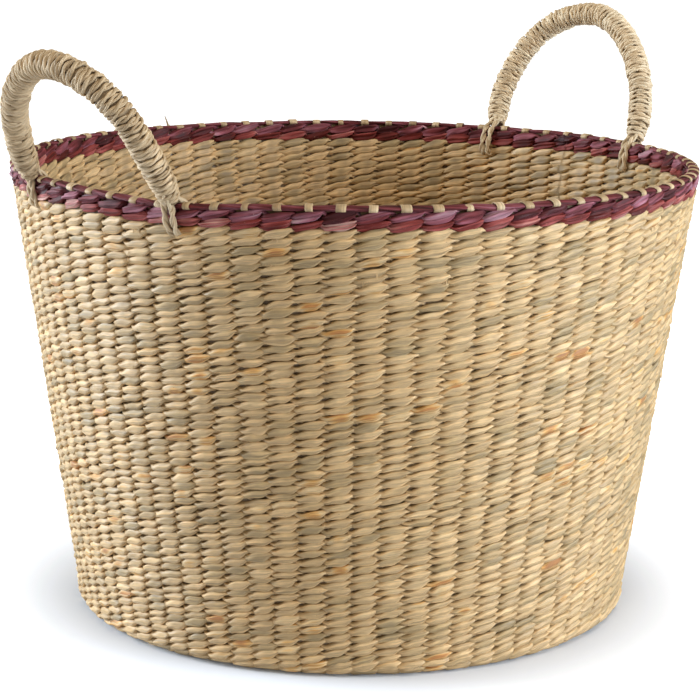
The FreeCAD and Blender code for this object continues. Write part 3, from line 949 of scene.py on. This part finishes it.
def bare_cords(handle, seed):
    """Two cords at each leg, each of two twisted plies, that straddle the rim and pass under it."""
    rng = np.random.default_rng(seed)
    outward = np.array([math.copysign(1, handle.pivot[0]), 0, 0])
    slope = UP[0] / UP[1]
    lean = np.array([handle.lean @ outward, handle.lean @ UPRIGHT])
    side = np.array([lean[1], -lean[0]])
    corners = 8
    rings, tones, fibres = [], [], []
    for leg in (-1, 1):
        for place in (-1, 1):
            along = leg * LEG_SPAN + place * CORD_APART
            shift = (abs(along) - LEG_SPAN) * -0.30
            hug = [(x * MM + slope * z * MM + shift, z * MM) for x, z in ROUND_THE_RIM]
            ends = [(lean * up + side * aside) * MM for up, aside in INTO_THE_WRAPPING]
            flat = spline([*ends[:2], *hug, *ends[2:]], 110)
            path = handle.pivot + along * handle.axis + flat[:, :1] * outward + flat[:, 1:] * UPRIGHT
            length = travelled(path)
            run = unit(np.gradient(path, axis=0))
            first = unit(handle.axis - run * (handle.axis * run).sum(1)[:, None])
            second = np.cross(run, first)
            for ply in (0, 1):
                turn = (length / CORD_LAY * TAU * place + ply * math.pi + rng.uniform(0, 0.6))[:, None]
                points = path + first * np.cos(turn) * CORD_SWING + second * np.sin(turn) * CORD_SWING
                size = (1.02 + 0.07 * smooth_noise(len(points), 8, rng)) * MM
                rings.append(sweep(points, size, size, corners))
                tones.append(np.clip(rng.normal(0.78, 0.12), 0, 1))
                skin = np.arange(corners) / corners * 6 * MM
                fibres.append(together(length[:, None] + ply, skin, float(ply)))
    cords = tubes(
        f"{handle.side}_bare_cords", np.stack(rings), core_cord, None, False,
        np.array(tones)[:, None, None], 0.0, np.stack(fibres),
    )
    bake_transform(cords)
    return cords


# ---------------- loose fibres

def loose_fibres(name, roots, ways, lengths, widths, curls, material, body, seed):
    """Short tapered fibres. Each starts at a root, runs its way and curls over."""
    rng = np.random.default_rng(seed)
    run = np.linspace(0, 1, 7)[None, :, None]
    ways = unit(ways)
    middle = roots[:, None] + lengths[:, None, None] * (ways[:, None] * run + curls[:, None] * run**2)
    aside = unit(np.cross(ways, [0.31, 0.47, 0.83]))
    second = np.cross(ways, aside)
    angle, c, s = oval(5)
    size = widths[:, None, None] * (1 - 0.75 * run**2)
    rings = (
        middle[:, :, None]
        + aside[:, None, None] * (c * size)[..., None]
        + second[:, None, None] * (s * size)[..., None]
    )
    own = rng.uniform(0, 50, (len(roots), 1, 1))
    fibre = together(run * lengths[:, None, None] + own, angle * widths.mean() + own * 0.1, own)
    tone = rng.uniform(0.1, 0.8, (len(roots), 1, 1))
    return tubes(name, rings, material, body, False, tone, 0.0, fibre)


def wall_fibres():
    """Frayed fibres: small hanging tufts on the upper rows, and single ends all over the wall."""
    rng = np.random.default_rng(71)
    top = RIM_END - BAND
    tufts, per_tuft, singles = 34, 6, 150
    in_tufts = tufts * per_tuft
    tuft_angle = rng.uniform(0, TAU, tufts)
    tuft_level = top - 4.7 * MM * rng.integers(1, 7, tufts) + 0.5 * MM
    angle = np.repeat(tuft_angle, per_tuft) + rng.uniform(-2.6, 2.6, in_tufts) * MM / 0.2
    level = np.repeat(tuft_level, per_tuft) + rng.uniform(-0.4, 0.4, in_tufts) * MM
    length = rng.uniform(1.4, 3.2, in_tufts) * MM
    angle = np.concatenate([angle, rng.uniform(0, TAU, singles)])
    level = np.concatenate([level, rng.uniform(WALL_START, top, singles)])
    down = np.concatenate([np.ones(in_tufts), rng.uniform(-0.35, 0.35, singles)])[:, None]
    length = np.concatenate([length, rng.uniform(3, 9, singles) * MM])
    inside = np.concatenate([np.zeros(in_tufts), rng.uniform(size=singles) < 0.35])[:, None] > 0
    count = len(angle)
    spot, normal, tangent = profile(level)
    spot = spot - normal * np.where(inside, THICK - 0.5 * MM, 0.5 * MM)
    roots, normal, tangent = (about_axis(v[:, 0], angle, v[:, 1]) for v in (spot, normal, tangent))
    away = normal * np.where(inside, -1.0, 1.0)
    round_way = together(-np.sin(angle), np.cos(angle), 0.0)
    turned = np.where(rng.uniform(size=count) < 0.5, 1, -1)[:, None]
    ways = -tangent * down + away * 0.22 + round_way * turned * (1 - np.abs(down))
    curls = away * rng.uniform(-0.25, 0.3, count)[:, None]
    curls -= UPRIGHT * rng.uniform(0, 0.3, count)[:, None]
    widths = rng.uniform(0.11, 0.24, count) * MM
    return loose_fibres(
        "wall_loose_fibres", roots, ways, length, widths, curls, natural_weft, "basket", 72
    )


STRAY_ANGLE = math.radians(82.9)


def stray_stake_end():
    """One stiff stake end that sticks up out of the rim, with a few fibres by it."""
    spot, normal, _ = profile(np.array([RIM_END - 1.5 * MM]))
    flat = (spot - normal * 0.62 * THICK)[0]
    root = about_axis(flat[0], STRAY_ANGLE, flat[1])
    radial = about_axis(1.0, STRAY_ANGLE, 0.0)
    round_way = np.array([-math.sin(STRAY_ANGLE), math.cos(STRAY_ANGLE), 0])
    ways = UPRIGHT + np.outer([-0.1, -0.5, 0.2, -0.3], radial) + np.outer([0.42, 0.8, -0.7, 0.3], round_way)
    lengths = np.array([9.0, 5.0, 4.0, 3.0]) * MM
    widths = np.array([0.75, 0.35, 0.28, 0.25]) * MM
    return loose_fibres(
        "stray_stake_end", np.tile(root, (4, 1)), ways, lengths, widths, np.tile(0.05 * radial, (4, 1)),
        pale_stake, "basket", 73,
    )


def handle_fibres(handle, seed):
    """Fuzz on the wrapping."""
    rng = np.random.default_rng(seed)
    count = 110
    share = rng.uniform(0.01, 0.99, count)
    centre, run, inward = handle.along(share)
    angle = rng.uniform(0, TAU, count)[:, None]
    outward = -inward * np.cos(angle) + handle.face * np.sin(angle)
    roots = centre + outward * (WRAP_RADIUS * handle.fullness(share) - 0.5 * MM)[:, None]
    turned = np.where(rng.uniform(size=count) < 0.5, 1.0, -1.0)[:, None]
    ways = np.cross(run, outward) * turned + outward * rng.uniform(0.2, 0.9, count)[:, None]
    ways += run * rng.normal(0, 0.35, count)[:, None]
    curls = outward * rng.uniform(-0.3, 0.2, count)[:, None]
    lengths = rng.uniform(1.5, 4.2, count) * MM
    widths = rng.uniform(0.09, 0.17, count) * MM
    return loose_fibres(
        f"{handle.side}_wrap_fibres", roots, ways, lengths, widths, curls, wrap_cord, handle.body,
        seed + 5,
    )


# ---------------- building it all

wall_and_base = weave_basket()
red_row = dyed_row("red_brown_rows", RED_DOWN, RED_PITCH, red_weft, 11)
purple_row = dyed_row("purple_rows", PURPLE_DOWN, PURPLE_PITCH, purple_weft, 12)
roll = rim_roll()
strips = make_stakes()
inner_sheet()
cross = centre_cross()
wall_fibres()
stray_stake_end()
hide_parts("wall_outside_weft", "wall_inside_weft")
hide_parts("base_outside_weft", "base_inside_weft")
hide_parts("red_brown_row")
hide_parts("purple_row")
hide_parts("rim_roll")
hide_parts("first_stakes", "second_stakes", "third_stakes")
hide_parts("centre_plait")

for number, side_name in enumerate(ARCHES):
    handle = Handle(side_name)
    wrapping = wrap_handle(handle, 51 + number)
    core_of(handle)
    cords = bare_cords(handle, 61 + number)
    handle_fibres(handle, 81 + number)
    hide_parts(f"{side_name}_handle_wrap")
    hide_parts(f"{side_name}_handle_core")


# ---------------- stage, light and camera

CAMERA_AZIMUTH = math.radians(-45.5)
CAMERA_DISTANCE = 1.385
CAMERA_HEIGHT = 0.4465
CAMERA_DOWN = 0.2005
CAMERA_ROLL = 0.0119
CAMERA_LENS = 116.8
CAMERA_SHIFT = (-0.0038, -0.0276)
RIGHTWARD = Vector((math.cos(CAMERA_AZIMUTH), math.sin(CAMERA_AZIMUTH), 0))
AWAY = Vector((-math.sin(CAMERA_AZIMUTH), math.cos(CAMERA_AZIMUTH), 0))
LIGHTS_AIM = Vector((0, 0, 0.15))
WHITE = (1, 1, 1, 1)
FLOOR_COLOUR = (0.66, 0.70, 0.77, 1)
FLOOR_HALF = 6.0
# The floor's painted glow, seen by the camera only, grows between these distances from the middle.
GLOW_FROM, GLOW_TO, GLOW_LEAST = 0.172, 0.27, 0.05
SOFT_TINT = (1.0, 0.90, 0.75, 1)
SOFT_STRENGTH = 0.28


def from_camera(right, away, height):
    """Point given by how far right, away from the camera and up it is from the basket's foot."""
    return RIGHTWARD * right + AWAY * away + Vector((0, 0, height))


def floor():
    """Pale matt floor with a painted glow, seen by the camera only, that fades it into the white backdrop
    away from the basket.
    """
    material = bpy.data.materials.new("pale_floor")
    n = Nodes(material)
    n.shade("Base Color", FLOOR_COLOUR)
    n.shade("Roughness", 0.9)
    place = n.add("ShaderNodeNewGeometry").outputs["Position"]
    far = n.add("ShaderNodeVectorMath", {0: place}, operation="LENGTH").outputs["Value"]
    limits = {0: far, 1: GLOW_FROM, 2: GLOW_TO, 3: GLOW_LEAST, 4: 1.0}
    fade = n.add("ShaderNodeMapRange", limits, clamp=True).outputs[0]
    seen = n.add("ShaderNodeLightPath").outputs["Is Camera Ray"]
    n.shade("Emission Color", WHITE)
    n.shade("Emission Strength", n.maths("MULTIPLY", fade, seen))
    half = FLOOR_HALF
    corners = [(-half, -half, 0), (half, -half, 0), (half, half, 0), (-half, half, 0)]
    mesh = bpy.data.meshes.new("floor")
    mesh.from_pydata(corners, [], [(0, 1, 2, 3)])
    mesh.materials.append(material)
    add_object("floor", mesh)


def studio_world():
    """White backdrop for the camera, with a weaker soft light from all round."""
    world = bpy.data.worlds.new("studio")
    n = Nodes(world, "Background")
    seen = n.add("ShaderNodeLightPath").outputs["Is Camera Ray"]
    n.shade("Color", n.mix(seen, SOFT_TINT, WHITE))
    limits = {"Value": seen, "To Min": SOFT_STRENGTH, "To Max": 1.0}
    n.shade("Strength", n.add("ShaderNodeMapRange", limits).outputs["Result"])
    bpy.context.scene.world = world
    bpy.context.scene.view_settings.view_transform = "Standard"


def soft_light(name, place, size, power, colour):
    """Round area light aimed at the basket."""
    light = bpy.data.lights.new(name, "AREA")
    light.shape, light.size, light.energy, light.color = "DISK", size, power, colour
    obj = add_object(name, light)
    obj.location = place
    obj.rotation_mode = "QUATERNION"
    obj.rotation_quaternion = (LIGHTS_AIM - place).to_track_quat("-Z", "Y")


def camera():
    """Camera at the photograph's viewing angle."""
    data = bpy.data.cameras.new("camera")
    data.lens, data.sensor_width = CAMERA_LENS, 36
    data.shift_x, data.shift_y = CAMERA_SHIFT
    obj = add_object("camera", data)
    obj.location = from_camera(0, -CAMERA_DISTANCE, CAMERA_HEIGHT)
    look = AWAY * math.cos(CAMERA_DOWN) - Vector((0, 0, 1)) * math.sin(CAMERA_DOWN)
    up = RIGHTWARD.cross(look)
    side = RIGHTWARD * math.cos(CAMERA_ROLL) + up * math.sin(CAMERA_ROLL)
    top = up * math.cos(CAMERA_ROLL) - RIGHTWARD * math.sin(CAMERA_ROLL)
    obj.rotation_mode = "QUATERNION"
    obj.rotation_quaternion = Matrix((side, top, -look)).transposed().to_quaternion()
    bpy.context.scene.camera = obj


floor()
camera()
soft_light("right", from_camera(2.0, -0.75, 0.48), 1.5, 69, (0.745, 0.865, 1.0))
soft_light("left", from_camera(-2.1, 0.35, 0.64), 1.5, 85, (0.775, 0.885, 1.0))
soft_light("above", from_camera(0.5, -1.1, 2.3), 1.3, 25, (1.0, 0.93, 0.83))
studio_world()
